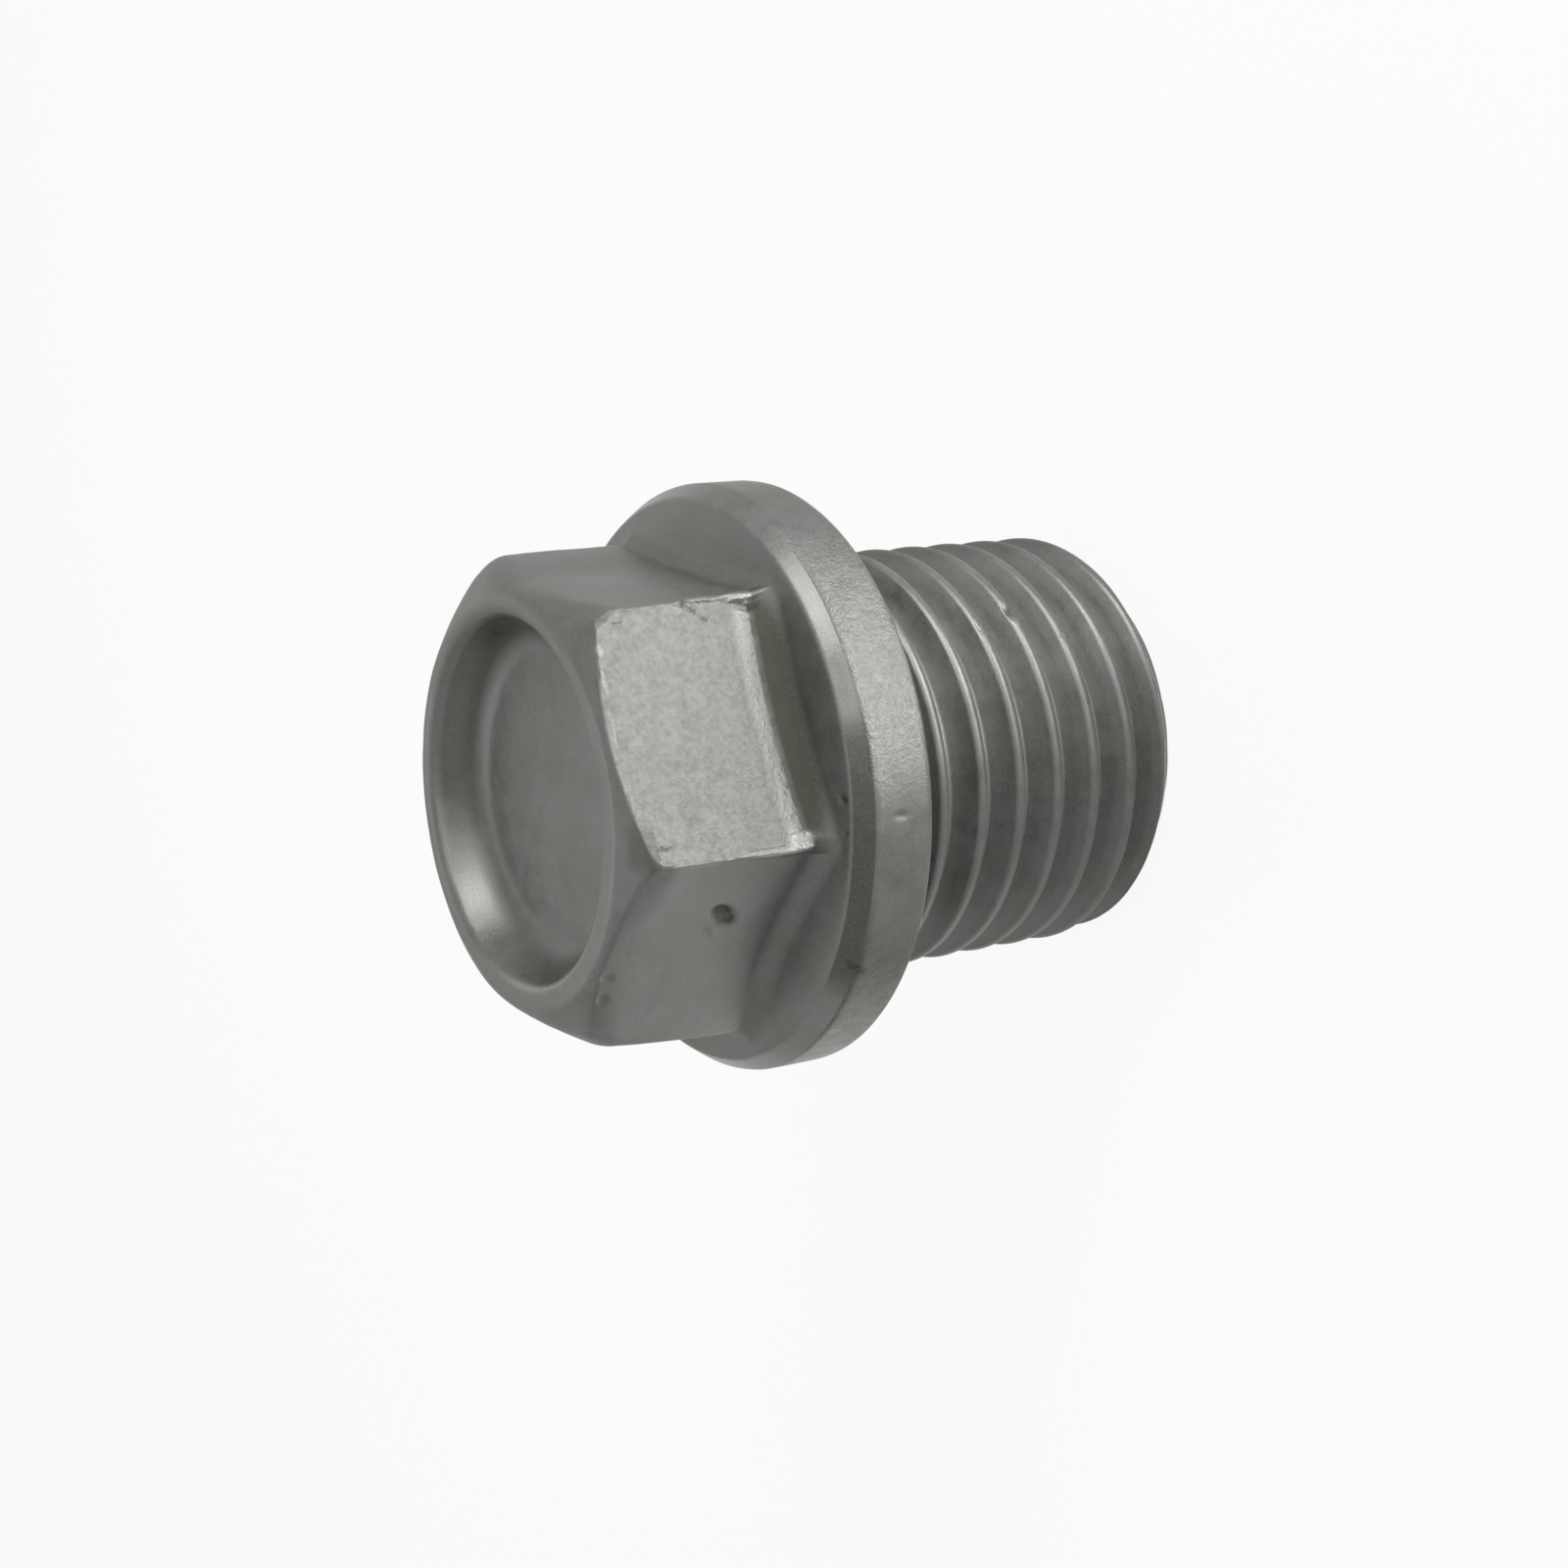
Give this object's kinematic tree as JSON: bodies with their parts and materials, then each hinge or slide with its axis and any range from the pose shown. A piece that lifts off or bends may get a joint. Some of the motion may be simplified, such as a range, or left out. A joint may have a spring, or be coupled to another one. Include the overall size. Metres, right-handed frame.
{
  "type": "oil drain plug",
  "caption": "Hexagon-head oil drain plug with a broad sealing flange, a dished head and a short right-hand metric fine thread.",
  "frame": {"origin": "centre of the tip face at the end of the thread, on which the plug stands", "axes": "+Z along the plug's axis from the thread's tip to the hexagon head; one flat of the hexagon is square to -Y"},
  "size_m": [0.019, 0.019, 0.0213],
  "materials": {
    "zinc_plated_steel": "matte grey zinc plating over a forged skin"
  },
  "bodies": {
    "root": {"drain_plug": "zinc_plated_steel"}
  },
  "joints": []
}
